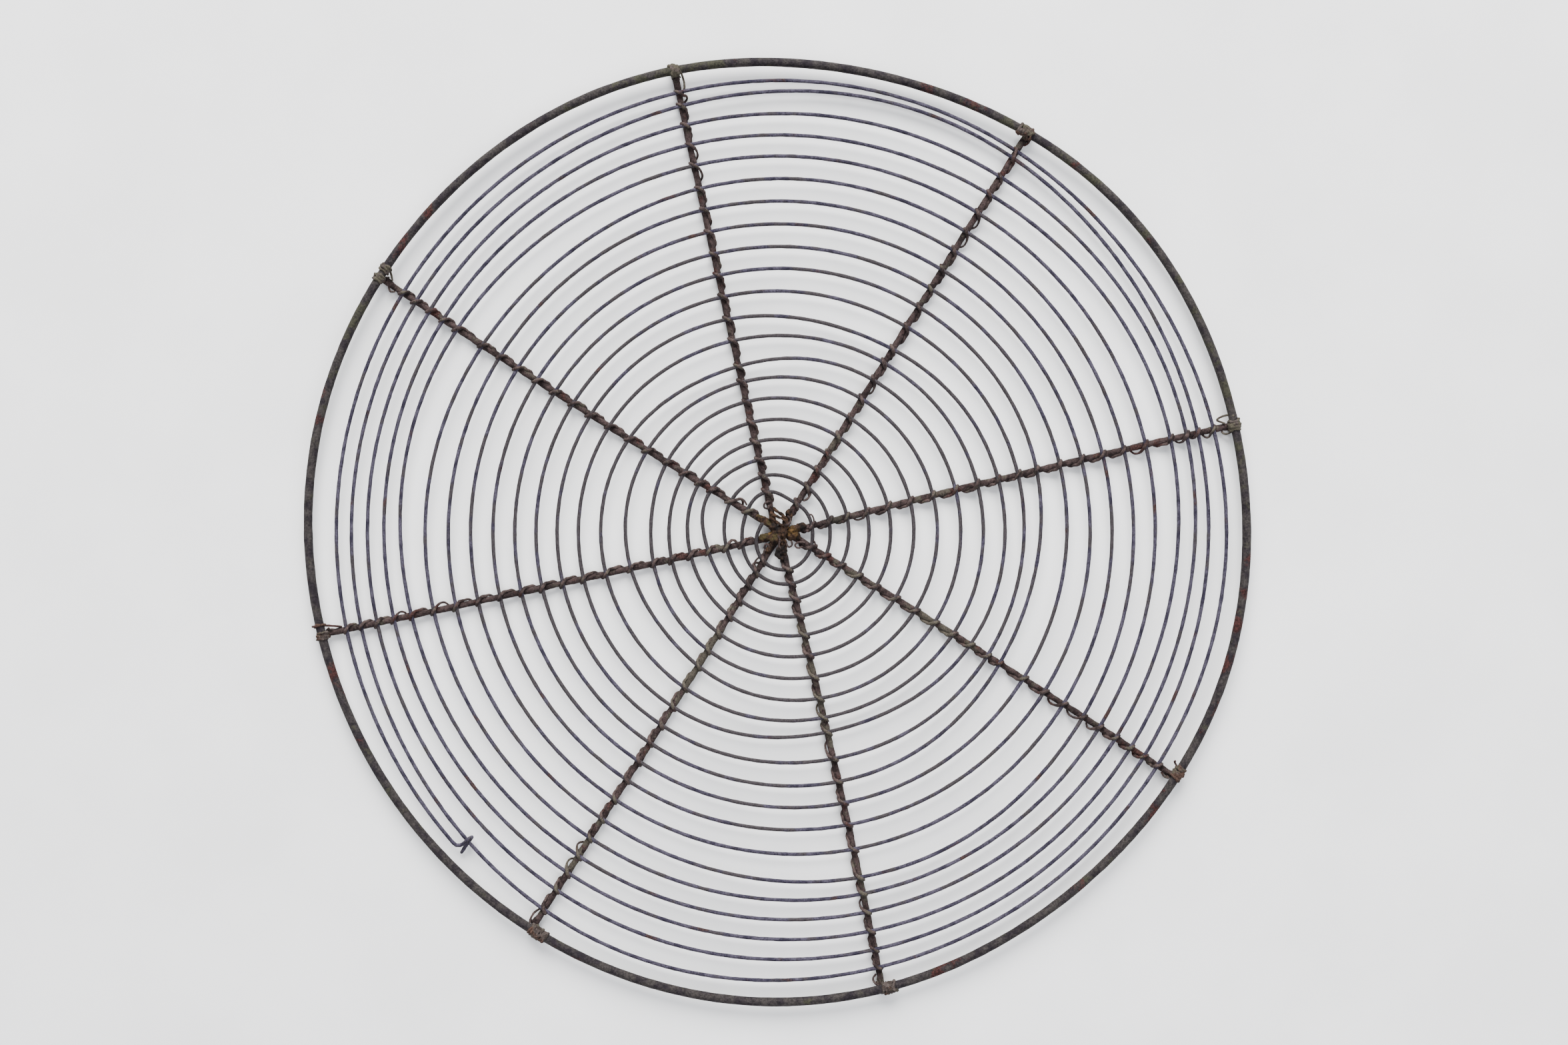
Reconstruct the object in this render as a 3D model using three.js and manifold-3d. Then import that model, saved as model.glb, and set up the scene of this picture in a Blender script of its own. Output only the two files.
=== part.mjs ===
// A flat round rack made by hand from steel wire, lying on its back: a thick rim, eight straight spokes
// behind it, one long wire coiled into a spiral on the spokes, and fine wire that laces the spiral to each
// spoke and lashes each spoke to the rim. Millimetres, +Z towards the spiral's side.

import * as THREE from 'three';
import { mergeVertices } from 'three/addons/utils/BufferGeometryUtils.js';
import Module from 'manifold-3d';

const wasm = await Module();
wasm.setup();

// Wire gauges.
const RIM_WIRE = 3.0;
const SPOKE_WIRE = 2.0;
const SPIRAL_WIRE = 1.1;
const LACING_WIRE = 0.65;

// Sides of each wire's section.
const RIM_SIDES = 8;
const SPOKE_SIDES = 8;
const SPIRAL_SIDES = 4;
const LACING_SIDES = 4;

const GAP = 0.1; // left between two wires that touch
const LASHING_GAP = 0.2; // left inside the lashings' turns
const FULL_TURN = 2 * Math.PI;

// The rim's centreline, and its unevenness: [waves round the rim, height, direction of a crest].
const RIM_RADIUS = 158.5;
const RIM_STEPS = 72;
const RIM_WAVES = [
  [2, 0.2, -55],
  [3, 0.7, 21],
  [5, 0.4, -27],
  [6, 0.3, -17],
];

// The spokes meet off centre, at the hub. Each: [direction of its outer end seen from the rim's centre, in
// degrees; how far to the left of the hub's middle it points, looking outwards; how far it bows to the left].
const HUB = new THREE.Vector2(1.0, -1.2);
const SPOKES = [
  [102.7, 1.4, 0.3],
  [57.7, 0.5, 0.1],
  [12.9, -0.4, 0.7],
  [328.1, 1.2, 0.9],
  [282.9, -0.6, 1.1],
  [238.4, 0, 0.5],
  [193.0, 0.8, 0.3],
  [147.6, -0.6, 1.1],
];
const SPOKE_STEPS = 8;
const HUB_CLEAR_RADIUS = 5.2; // the spokes stop this far from the hub's middle
const SPOKE_OVERRUN = 2.4; // how far a spoke's tip runs past the rim's centreline
const SPOKE_HEIGHT = 2.0;

// The spiral, counted in turns from the side that faces -X.
const SPIRAL_START = -0.05;
const SPIRAL_END = 21.123;
const SPIRAL_TURNS = 21;
const SPIRAL_FIRST_RADIUS = 9.6;
const SPIRAL_PITCH = 6.77;
const SPIRAL_SWELL = [3.45, 1.15]; // the turns lie wider apart halfway out than at either end
const SPIRAL_SHIFT = [3.1, -1.0]; // the middle turns' centre, from the rim's
const SPIRAL_SHIFT_LOSS = 2.05; // how much less the innermost and outermost turns are shifted along X
const SPIRAL_OVAL = [0.4, -0.55];
const SPIRAL_OVAL_LOSS = 2.1;
const CHORD_ERROR = 0.5;

// Places where the spiral was bent in or out by hand: [turn, how far out].
const SPIRAL_DENTS = [
  [-0.08, -1.6],
  [0.69, -2.4],
  [2.94, 2.8],
  [6.0, -1.8],
  [7.12, -2.4],
  [7.81, -2.8],
  [9.31, -3.3],
  [9.69, -2.9],
  [11.44, -3.6],
  [15.31, 3.0],
  [15.88, -2.0],
  [16.94, 2.5],
  [17.56, 2.5],
  [18.56, 2.1],
  [19.69, 4.1],
  [20.19, 3.3],
  [20.5, 2.8],
];
const DENT_TURNS = 0.9;
const DENT_SPREAD = 0.55; // radians

// The hook at the spiral's outer end: steps [along the turn, outwards] of the bend that leads in, then
// [along the turn, outwards, up] of the hook over the next turn in and back under it.
const HOOK_BEND = [
  [1.0, -0.3],
  [1.6, -1.1],
  [1.8, -2.0],
];
const HOOK_ROUND = [
  [1.9, 2.2, 0],
  [2.0, 1.0, 1.5],
  [2.1, -1.0, 1.5],
  [2.5, -1.75, 0],
  [2.6, -1.0, -1.6],
  [2.9, 1.0, -1.6],
  [3.7, 5.0, -1.7],
];

// Lacing: one turn of fine wire round the spoke at each crossing.
const LACING_INNERMOST = 12.8; // crossings nearer the hub than this aren't laced
const LACING_TOP_REACH = 0.85; // half the stretch that lies over the spiral
const LACING_TOP_SLANT = 0.6;
const LACING_SIDE_REACH = 2.2; // from a crossing to where the lacing passes the spoke's side
const TURNS_LACED_TOGETHER = 3.4; // turns closer than this share one turn of lacing

// Between crossings the lacing goes behind the spoke: [share of the way in, degrees round the spoke].
const LACING_BEHIND = [
  [0.6, 240],
  [0.8, 300],
];

// Lashings at the rim: [side of the spoke that the turns lie on, number of turns], spoke by spoke.
const LASHINGS = [
  [1, 4],
  [1, 4],
  [1, 5],
  [1, 4],
  [1, 5],
  [1, 5],
  [-1, 4],
  [-1, 4],
];
const LASHING_PITCH = 1.0;
const LASHING_OFFSET = 1.9; // from the spoke's axis to the nearest lashing turn
const LASHING_START = [3.2, 1.6]; // where the wire's first end stands off the rim, outwards and up
const LASHING_LOW = 0.2 - SPOKE_HEIGHT; // the strand under the spoke nearly reaches the table

// The strand that crosses under the spoke: [outwards from the rim, across, above the spoke's axis].
const LASHING_UNDER = [
  [-2.0, -LASHING_OFFSET, 0],
  [-0.9, -0.85, LASHING_LOW],
  [0.9, 0.85, LASHING_LOW],
  [2.0, LASHING_OFFSET, 0],
  [3.2, LASHING_OFFSET, 0.6],
];
const TABLE_SIZE = 12; // of the block that wears that strand flat

const HUB_TIE_RADIUS = 6.3;
const HUB_TIE_HEIGHT = 1.55; // above and below the spokes' axes
const HUB_TIE_HALF_WIDTH = 1.0;

const METALNESS = 0.4;
const FINISHES = {
  rim: { color: 0x4b4038, roughness: 0.7 },
  spoke: { color: 0x4a382c, roughness: 0.8 },
  spiral: { color: 0x4b4750, roughness: 0.6 },
  lacing: { color: 0x4c3c2f, roughness: 0.85 },
  tie: { color: 0x6b4a26, roughness: 0.9 },
};

// Corner radius of a regular section with the round wire's area, so that a wire weighs what it should.
const cornerRadius = (wire, sides) => {
  const corner = FULL_TURN / sides;
  return (wire / 2) * Math.sqrt(corner / Math.sin(corner));
};
const flatRadius = (wire, sides) => cornerRadius(wire, sides) * Math.cos(Math.PI / sides);

const RIM_FLAT = flatRadius(RIM_WIRE, RIM_SIDES);
const SPOKE_CORNER = cornerRadius(SPOKE_WIRE, SPOKE_SIDES);
const SPOKE_FLAT = flatRadius(SPOKE_WIRE, SPOKE_SIDES);
const SPIRAL_FLAT = flatRadius(SPIRAL_WIRE, SPIRAL_SIDES);
const LACING_CORNER = cornerRadius(LACING_WIRE, LACING_SIDES);

// Heights above the spokes' axes.
const SPIRAL_RISE = SPOKE_FLAT + SPIRAL_FLAT + GAP;
const RIM_RISE = SPOKE_FLAT + RIM_FLAT + GAP;
const LACING_TOP = SPIRAL_RISE + SPIRAL_FLAT + LACING_CORNER + GAP;

// A fine wire bent round another in straight stretches clears it by the gap.
const WRAP_STEPS = 6;
const wrapRadius = (core, gap) => (core + LACING_CORNER + gap) / Math.cos(Math.PI / WRAP_STEPS);
const LACING_RADIUS = wrapRadius(SPOKE_CORNER, GAP);
const LASHING_RADIUS = wrapRadius(cornerRadius(RIM_WIRE, RIM_SIDES), LASHING_GAP);

// A route of straight stretches, stepped exactly at its own points.
class Route extends THREE.Curve {
  constructor(points) {
    super();
    this.points = points;
  }

  getPoint(t, target = new THREE.Vector3()) {
    const last = this.points.length - 1;
    const place = THREE.MathUtils.clamp(t, 0, 1) * last;
    const from = Math.min(Math.floor(place), last - 1);
    return target.lerpVectors(this.points[from], this.points[from + 1], place - from);
  }

  getPointAt(u, target) {
    return this.getPoint(u, target);
  }

  // At a corner, the direction is halfway between those of the two stretches.
  getTangentAt(u, target = new THREE.Vector3()) {
    const last = this.points.length - 1;
    const corner = Math.round(u * last);
    target.set(0, 0, 0);
    for (const end of [corner, corner + 1]) {
      if (end > 0 && end <= last) {
        target.add(this.points[end].clone().sub(this.points[end - 1]).normalize());
      }
    }
    return target.normalize();
  }
}

function wireGeometry(points, wire, sides) {
  const radius = cornerRadius(wire, sides);
  const section = new THREE.Shape();
  for (let side = 0; side < sides; side += 1) {
    const angle = ((side + 0.5) * FULL_TURN) / sides;
    const corner = [radius * Math.cos(angle), radius * Math.sin(angle)];
    if (side === 0) section.moveTo(...corner);
    else section.lineTo(...corner);
  }
  section.closePath();
  return new THREE.ExtrudeGeometry(section, { steps: points.length - 1, extrudePath: new Route(points) });
}

function makeMesh(name, geometry, finish) {
  const material = new THREE.MeshStandardMaterial({ ...finish, metalness: METALNESS });
  const mesh = new THREE.Mesh(geometry, material);
  mesh.name = name;
  return mesh;
}

function rimRadius(angle) {
  return RIM_WAVES.reduce((radius, [waves, height, crest]) => (
    radius + height * Math.cos(waves * (angle - THREE.MathUtils.degToRad(crest)))
  ), RIM_RADIUS);
}

function makeRim() {
  const corner = cornerRadius(RIM_WIRE, RIM_SIDES);
  const profile = [];
  for (let side = 0; side <= RIM_SIDES; side += 1) {
    const angle = (((side % RIM_SIDES) + 0.5) * FULL_TURN) / RIM_SIDES;
    profile.push(new THREE.Vector2(RIM_RADIUS + corner * Math.cos(angle), corner * Math.sin(angle)));
  }
  const ring = new THREE.LatheGeometry(profile, RIM_STEPS).rotateX(Math.PI / 2);
  const place = ring.getAttribute('position');
  for (let i = 0; i < place.count; i += 1) {
    const angle = Math.atan2(place.getY(i), place.getX(i));
    const radius = Math.hypot(place.getX(i), place.getY(i)) + rimRadius(angle) - RIM_RADIUS;
    place.setXY(i, radius * Math.cos(angle), radius * Math.sin(angle));
  }
  const rim = makeMesh('rim', ring, FINISHES.rim);
  rim.position.z = SPOKE_HEIGHT + RIM_RISE;
  return rim;
}

const spiralAngle = (turn) => Math.PI + FULL_TURN * turn;

function spiralRadius(turn) {
  const angle = spiralAngle(turn);
  const wholeCoil = (FULL_TURN * turn) / SPIRAL_TURNS;
  const towardsEnds = ((2 * turn) / SPIRAL_TURNS - 1) ** 2; // 0 halfway out, 1 at both ends
  let radius = SPIRAL_FIRST_RADIUS + SPIRAL_PITCH * turn;
  radius -= SPIRAL_SWELL[0] * Math.sin(wholeCoil) + SPIRAL_SWELL[1] * Math.sin(2 * wholeCoil);
  radius += (SPIRAL_SHIFT[0] - SPIRAL_SHIFT_LOSS * towardsEnds) * Math.cos(angle);
  radius += SPIRAL_SHIFT[1] * Math.sin(angle);
  radius += (SPIRAL_OVAL[0] - SPIRAL_OVAL_LOSS * towardsEnds) * Math.cos(2 * angle);
  radius += SPIRAL_OVAL[1] * Math.sin(2 * angle);
  for (const [dentTurn, depth] of SPIRAL_DENTS) {
    const off = spiralAngle(dentTurn) - angle;
    const around = Math.atan2(Math.sin(off), Math.cos(off)) / DENT_SPREAD;
    radius += depth * Math.exp(-(((turn - dentTurn) / DENT_TURNS) ** 2) - around ** 2);
  }
  return radius;
}

const polar = (radius, angle, z) => (
  new THREE.Vector3(radius * Math.cos(angle), radius * Math.sin(angle), z)
);

function spiralPoints() {
  const points = [];
  let turn = SPIRAL_START;
  while (turn < SPIRAL_END) {
    const radius = spiralRadius(turn);
    points.push(polar(radius, spiralAngle(turn), 0));
    turn += Math.acos(1 - CHORD_ERROR / radius) / Math.PI;
  }
  points.push(polar(spiralRadius(SPIRAL_END), spiralAngle(SPIRAL_END), 0));
  return points;
}

function hookPoints() {
  const angle = spiralAngle(SPIRAL_END);
  const outer = spiralRadius(SPIRAL_END);
  const inner = spiralRadius(SPIRAL_END - 1);
  const bend = HOOK_BEND.map(([along, out]) => polar(outer + out, angle + along / outer, 0));
  const round = HOOK_ROUND.map(([along, out, up]) => polar(inner + out, angle + along / outer, up));
  return [...bend, ...round];
}

function makeSpiral() {
  const points = [...spiralPoints(), ...hookPoints()];
  const geometry = wireGeometry(points, SPIRAL_WIRE, SPIRAL_SIDES);
  const spiral = makeMesh('spiral_wire', geometry, FINISHES.spiral);
  spiral.position.z = SPOKE_HEIGHT + SPIRAL_RISE;
  return spiral;
}

const ORIGIN = new THREE.Vector2();

// A spoke's own frame: where it starts beside the hub, its heading, and the distance to the rim's centreline.
function spokeLine([degrees, aside, bow]) {
  const angle = THREE.MathUtils.degToRad(degrees);
  const atRim = new THREE.Vector2(Math.cos(angle), Math.sin(angle)).multiplyScalar(rimRadius(angle));
  const leftwards = atRim.clone().sub(HUB).angle() + Math.PI / 2;
  const start = new THREE.Vector2(aside, 0).rotateAround(ORIGIN, leftwards).add(HUB);
  const line = atRim.sub(start);
  return { start, heading: line.angle(), reach: line.length(), bow };
}

const bowAt = ({ bow, reach }, x) => 4 * bow * (x / reach) * (1 - x / reach);

// Points laid out along a straight spoke, moved to where the bowed one is.
const bend = (line, points) => (
  points.map(({ x, y, z }) => new THREE.Vector3(x, y + bowAt(line, x), z))
);

// Where the spiral crosses a spoke, outermost first: the distance along it, and how far the spiral moves
// outwards for each millimetre across.
function crossings(line) {
  const local = spiralPoints().map((point) => {
    const place = new THREE.Vector2(point.x, point.y).sub(line.start).rotateAround(ORIGIN, -line.heading);
    place.y -= bowAt(line, place.x);
    return place;
  });
  const found = [];
  for (let i = 1; i < local.length; i += 1) {
    const [a, b] = [local[i - 1], local[i]];
    if (a.y < 0 !== b.y < 0) {
      const slope = (b.x - a.x) / (b.y - a.y);
      found.push({ distance: a.x - slope * a.y, slope });
    }
  }
  const laced = found.filter(({ distance }) => distance > LACING_INNERMOST);
  return laced.sort((a, b) => b.distance - a.distance);
}

// Neighbouring turns that lie close together are laced as one: [outer turn, inner turn] for each lacing.
function lacedPairs(line) {
  const pairs = [];
  for (const crossing of crossings(line)) {
    const last = pairs.at(-1);
    if (last && last[1].distance - crossing.distance < TURNS_LACED_TOGETHER) last[1] = crossing;
    else pairs.push([crossing, crossing]);
  }
  return pairs;
}

const aroundSpoke = (x, degrees) => {
  const angle = THREE.MathUtils.degToRad(degrees);
  return new THREE.Vector3(x, LACING_RADIUS * Math.cos(angle), LACING_RADIUS * Math.sin(angle));
};

// A point beside a crossing, measured from the spiral's wire there.
const besideSpiral = ({ distance, slope }, out, across, up) => (
  new THREE.Vector3(distance + slope * across + out, across, up)
);

// The lacing, in the spoke's own frame: +X out along the spoke, +Z up, and the origin over the hub.
function makeLacing(name, line) {
  const points = [];
  for (const [outer, inner] of lacedPairs(line)) {
    const side = besideSpiral(outer, LACING_SIDE_REACH, LACING_RADIUS, 0);
    const previous = points.at(-1);
    if (previous) {
      for (const [share, degrees] of LACING_BEHIND) {
        points.push(aroundSpoke(THREE.MathUtils.lerp(previous.x, side.x, share), degrees));
      }
    }
    points.push(side);
    points.push(besideSpiral(outer, LACING_TOP_REACH, LACING_TOP_SLANT, LACING_TOP));
    points.push(besideSpiral(inner, -LACING_TOP_REACH, -LACING_TOP_SLANT, LACING_TOP));
    points.push(besideSpiral(inner, -LACING_SIDE_REACH, -LACING_RADIUS, 0));
  }
  return makeMesh(name, wireGeometry(bend(line, points), LACING_WIRE, LACING_SIDES), FINISHES.lacing);
}

function toSolid(geometry) {
  const bare = geometry.clone();
  bare.deleteAttribute('normal');
  bare.deleteAttribute('uv');
  const merged = mergeVertices(bare);
  const vertProperties = new Float32Array(merged.getAttribute('position').array);
  const triVerts = new Uint32Array(merged.getIndex().array);
  return new wasm.Manifold(new wasm.Mesh({ numProp: 3, vertProperties, triVerts }));
}

function toGeometry(solid) {
  const mesh = solid.getMesh();
  const geometry = new THREE.BufferGeometry();
  geometry.setAttribute('position', new THREE.BufferAttribute(mesh.vertProperties, 3));
  geometry.setIndex(new THREE.BufferAttribute(mesh.triVerts, 1));
  geometry.computeVertexNormals();
  return geometry;
}

// The lashing's strand under the spoke is worn flat where the rack stands on it.
function wornFlat(geometry, reach) {
  const table = new THREE.BoxGeometry(TABLE_SIZE, TABLE_SIZE, TABLE_SIZE);
  table.translate(reach, 0, -SPOKE_HEIGHT - TABLE_SIZE / 2);
  return toGeometry(toSolid(geometry).subtract(toSolid(table)));
}

// The lashing, in the spoke's own frame: turns round the rim beside the spoke, over the rim to the spoke's
// other side, then once under the spoke.
function makeLashing(name, reach, [side, turns]) {
  const points = [];
  const addPoint = (x, across, up) => points.push(new THREE.Vector3(x, side * across, up));
  const far = LASHING_OFFSET + turns * LASHING_PITCH;
  addPoint(reach + LASHING_START[0], far, RIM_RISE + LASHING_START[1]);
  for (let step = 0; step <= turns * WRAP_STEPS; step += 1) {
    const angle = ((step + 1) * FULL_TURN) / WRAP_STEPS;
    const along = far - (LASHING_PITCH * step) / WRAP_STEPS;
    const axis = reach - along ** 2 / (2 * RIM_RADIUS); // the rim curves away from its tangent
    addPoint(
      axis + LASHING_RADIUS * Math.cos(angle),
      along,
      RIM_RISE + LASHING_RADIUS * Math.sin(angle),
    );
  }
  for (const angle of [2, 3].map((step) => (step * FULL_TURN) / WRAP_STEPS)) {
    addPoint(
      reach + LASHING_RADIUS * Math.cos(angle),
      -LASHING_OFFSET,
      RIM_RISE + LASHING_RADIUS * Math.sin(angle),
    );
  }
  for (const [out, across, up] of LASHING_UNDER) {
    addPoint(reach + out, across, up);
  }
  const geometry = wornFlat(wireGeometry(points, LACING_WIRE, LACING_SIDES), reach);
  return makeMesh(name, geometry, FINISHES.lacing);
}

function makeSpoke(name, line) {
  const points = [];
  for (let step = 0; step <= SPOKE_STEPS; step += 1) {
    const x = THREE.MathUtils.lerp(HUB_CLEAR_RADIUS, line.reach + SPOKE_OVERRUN, step / SPOKE_STEPS);
    points.push(new THREE.Vector3(x, 0, 0));
  }
  return makeMesh(name, wireGeometry(bend(line, points), SPOKE_WIRE, SPOKE_SIDES), FINISHES.spoke);
}

// The tie goes once round the hub, over one spoke and under the next.
function makeHubTie(lines) {
  const points = [];
  lines.forEach(({ start, heading }, index) => {
    const crossing = new THREE.Vector2(HUB_TIE_RADIUS, 0).rotateAround(ORIGIN, heading).add(start).sub(HUB);
    const height = index % 2 === 0 ? HUB_TIE_HEIGHT : -HUB_TIE_HEIGHT;
    for (const side of [1, -1]) {
      const angle = crossing.angle() + (side * HUB_TIE_HALF_WIDTH) / HUB_TIE_RADIUS;
      points.push(polar(HUB_TIE_RADIUS, angle, height));
    }
  });
  const tie = makeMesh('hub_tie', wireGeometry(points, LACING_WIRE, LACING_SIDES), FINISHES.tie);
  tie.position.set(HUB.x, HUB.y, SPOKE_HEIGHT);
  return tie;
}

const rack = new THREE.Group();
rack.add(makeRim(), makeSpiral());
const lines = SPOKES.map(spokeLine);
lines.forEach((line, index) => {
  const number = index + 1;
  const arm = new THREE.Group();
  arm.position.set(line.start.x, line.start.y, SPOKE_HEIGHT);
  arm.rotation.z = line.heading;
  arm.add(makeSpoke(`spoke_${number}`, line));
  arm.add(makeLacing(`lacing_${number}`, line));
  arm.add(makeLashing(`lashing_${number}`, line.reach, LASHINGS[index]));
  rack.add(arm);
});
rack.add(makeHubTie(lines));

export default rack;
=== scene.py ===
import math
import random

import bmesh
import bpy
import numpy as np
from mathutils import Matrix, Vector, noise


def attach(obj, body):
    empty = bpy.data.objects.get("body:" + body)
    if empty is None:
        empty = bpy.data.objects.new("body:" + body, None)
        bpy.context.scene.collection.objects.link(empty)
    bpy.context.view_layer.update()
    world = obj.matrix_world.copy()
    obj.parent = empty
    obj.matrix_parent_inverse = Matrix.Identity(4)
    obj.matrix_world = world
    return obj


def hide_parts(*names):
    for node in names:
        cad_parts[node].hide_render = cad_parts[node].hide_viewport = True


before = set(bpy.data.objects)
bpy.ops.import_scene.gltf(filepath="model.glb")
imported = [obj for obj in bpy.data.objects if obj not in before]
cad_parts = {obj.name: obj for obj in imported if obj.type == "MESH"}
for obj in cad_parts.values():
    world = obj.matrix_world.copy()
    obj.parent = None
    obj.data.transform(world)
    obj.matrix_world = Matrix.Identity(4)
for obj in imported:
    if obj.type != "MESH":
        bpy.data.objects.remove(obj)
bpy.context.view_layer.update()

# Looks of a flat round rack, made by hand from steel wire and long since rusted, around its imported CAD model.
#
# Rim, spokes and spiral follow the CAD model's lines. Here the wires get round sections, pits and lumps,
# crooked lacing with slack loops, lashings with their free ends, the rusted knot at the hub, and their
# colours. Metres, +Z towards the spiral's side. Single sizes are written as millimetres times MM; tables and
# ranges without MM are in plain millimetres, and are multiplied where they are used.

MM = 0.001
FULL_TURN = 2 * math.pi

# Wire radii, with the rust on them.
RIM_WIRE = 1.5 * MM
SPOKE_WIRE = 1.08 * MM
SPIRAL_WIRE = 0.65 * MM
LACING_WIRE = 0.34 * MM

# A wire's mesh: its rings are so many corners round, and an open end is rounded off with a last, smaller
# ring and a tip beyond it (a share of the step between two rings).
RIM_SIDES = 20
SPOKE_SIDES = 16
ROPE_SIDES = 10
THIN_SIDES = 8
END_RING = 0.72
END_TIP = 0.25
RIM_RINGS = 1500
SPOKE_STEP = 0.4 * MM
SPIRAL_STEP = 1.3 * MM
HOOK_STEP = 0.4 * MM
LACING_STEP = 0.3 * MM
LASHING_STEP = 0.28 * MM
STRAND_STEP = 0.25 * MM
ROPE_STEP = 0.3 * MM
CURVE_PARTS = 8  # between two points of a smooth curve, before its steps are made even
NEARLY_UPRIGHT = 0.1  # how flat a wire's first step is, at least, for its sides to be found from +Z

# How uneven a wire's skin is: the sizes of its lumps and pits, as multiples of its radius, and how far apart
# two seeds lie in the noise.
LUMP_SIZE = 4
PIT_SIZE = 1.3
SEED_SHIFT = (7.31, 3.17, 5.71)

# Seeds of the wires' skins, and of the random draws. All but the spiral's add the piece's number.
SPIRAL_SKIN = 4
SPOKE_SKIN = 10
LACING_DRAW = 40
LACING_SKIN = 60
LASHING_DRAW = 80
LASHING_SKIN = 100
LASHING_UNDER_SKIN = 120
RIM_STRAND_SKIN = 140
HUB_STRAND_SKIN = 160


# Heights of the wires' centrelines, as in the CAD model.
SPOKE_HEIGHT = 2.0 * MM
SPIRAL_HEIGHT = 3.56 * MM
RIM_HEIGHT = 4.535 * MM

# The rim's centreline, as in the CAD model: [waves round the rim, height, direction of a crest in degrees].
RIM_RADIUS = 158.5 * MM
RIM_WAVES = [
    (2, 0.2 * MM, -55),
    (3, 0.7 * MM, 21),
    (5, 0.4 * MM, -27),
    (6, 0.3 * MM, -17),
]

# Spokes, as in the CAD model: [direction of the outer end in degrees, aside of the hub, bow].
HUB = Vector((1.0 * MM, -1.2 * MM))
SPOKES = [
    (102.7, 1.4 * MM, 0.3 * MM),
    (57.7, 0.5 * MM, 0.1 * MM),
    (12.9, -0.4 * MM, 0.7 * MM),
    (328.1, 1.2 * MM, 0.9 * MM),
    (282.9, -0.6 * MM, 1.1 * MM),
    (238.4, 0.0, 0.5 * MM),
    (193.0, 0.8 * MM, 0.3 * MM),
    (147.6, -0.6 * MM, 1.1 * MM),
]
SPOKE_INNER_END = 3.2 * MM  # under the hub's crust, 2 mm further in than the CAD model's
SPOKE_OVERRUN = 2.2 * MM  # past the rim's centreline, 0.2 mm less than the CAD model's
SPOKE_POINTS = 60

# The spiral's formula, as in the CAD model, in turns and millimetres.
SPIRAL_SAMPLES = 12000
SPIRAL_START = -0.05
SPIRAL_END = 21.123
SPIRAL_TURNS = 21
SPIRAL_FIRST_RADIUS = 9.6
SPIRAL_PITCH = 6.77
SPIRAL_SWELL = (3.45, 1.15)  # the turns lie wider apart halfway out than at either end
SPIRAL_SHIFT = (3.1, -1.0)  # the middle turns' centre, from the rim's
SPIRAL_SHIFT_LOSS = 2.05  # how much less the innermost and outermost turns are shifted along X
SPIRAL_OVAL = (0.4, -0.55)
SPIRAL_OVAL_LOSS = 2.1
SPIRAL_DENTS = [  # where it was bent in or out by hand: (turn, how far out)
    (-0.08, -1.6),
    (0.69, -2.4),
    (2.94, 2.8),
    (6.0, -1.8),
    (7.12, -2.4),
    (7.81, -2.8),
    (9.31, -3.3),
    (9.69, -2.9),
    (11.44, -3.6),
    (15.31, 3.0),
    (15.88, -2.0),
    (16.94, 2.5),
    (17.56, 2.5),
    (18.56, 2.1),
    (19.69, 4.1),
    (20.19, 3.3),
    (20.5, 2.8),
]
DENT_TURNS = 0.9
DENT_SPREAD = 0.55  # radians

# The spiral's two ends. The inner one turns in under the hub's crust, in a last stretch that the CAD model
# leaves out. The outer one bends in (along the turn, outwards) and hooks round the turn inside it (along,
# outwards, up), up to 0.2 mm closer to it than in the CAD model.
SPIRAL_TAIL = [(-4.1, 2.7), (-4.8, 2.3)]
HOOK_BEND = [(1.0, -0.3), (1.6, -1.1), (1.8, -2.0)]
HOOK_ROUND = [
    (1.9, 2.2, 0),
    (2.0, 1.0, 1.3),
    (2.1, -1.0, 1.3),
    (2.5, -1.75, 0),
    (2.6, -1.0, -1.5),
    (2.9, 1.0, -1.6),
    (3.7, 5.0, -1.7),
]

# Lacing. Wire that is thick with rust is so many times its own radius.
LACING_TOP = 0.96 * MM  # above the spiral's centreline
LACING_INNERMOST = 9.0 * MM  # crossings nearer the hub than this aren't laced
TURNS_LACED_TOGETHER = 3.4 * MM  # turns closer than this share one turn of lacing
LACING_PAST_LAST = 6 * MM  # how far it winds on after the innermost crossing
CRUSTED_TOP = (1.4, 1.9)  # over the spiral
CRUSTED_SIDE = (1.3, 1.75)  # beside the spoke
SLACK_THICKNESS = 1.1  # where it hangs free
NUB_CLEARANCE = (-0.4, 0.0)  # from the spoke, where it comes up on the left
LACING_LEAN = (0.8, 1.4)  # how far outwards of the crossing that is
SNUG_BULGE = (-0.25, 0.1)  # its clearance from the spoke's side where it lies close
SNUG_SIDE = (150, 165)  # where it passes the spoke's side, in degrees
SLACK_SIDE = 172
TURN_BACK = (0.50, 0.58)  # where it goes behind the spoke, as a share of the gap to the next crossing
SLACK_REACH = 6.2 * MM  # a slack loop stands off up to this far inside its crossing

# Slack loops of the lacing on the spokes' clockwise side: {spoke: [(distance from the hub, stand-off)]}.
SLACK_LOOPS = {
    1: [(151, 1.0), (132, 0.45), (124, 0.5)],
    2: [(122, 0.55), (116, 0.5), (59, 0.3), (15, 0.9)],
    3: [(148, 0.8), (138, 0.4), (123, 0.8), (28, 0.45)],
    4: [(123, 0.8), (117, 0.6), (108, 0.65)],
    5: [(129, 0.4), (76, 0.4), (62, 0.35)],
    6: [(132, 0.6), (126, 0.9), (13, 0.9)],
    7: [(131, 0.6), (117, 0.8), (17, 0.6)],
    8: [(18, 0.9)],
}

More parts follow.
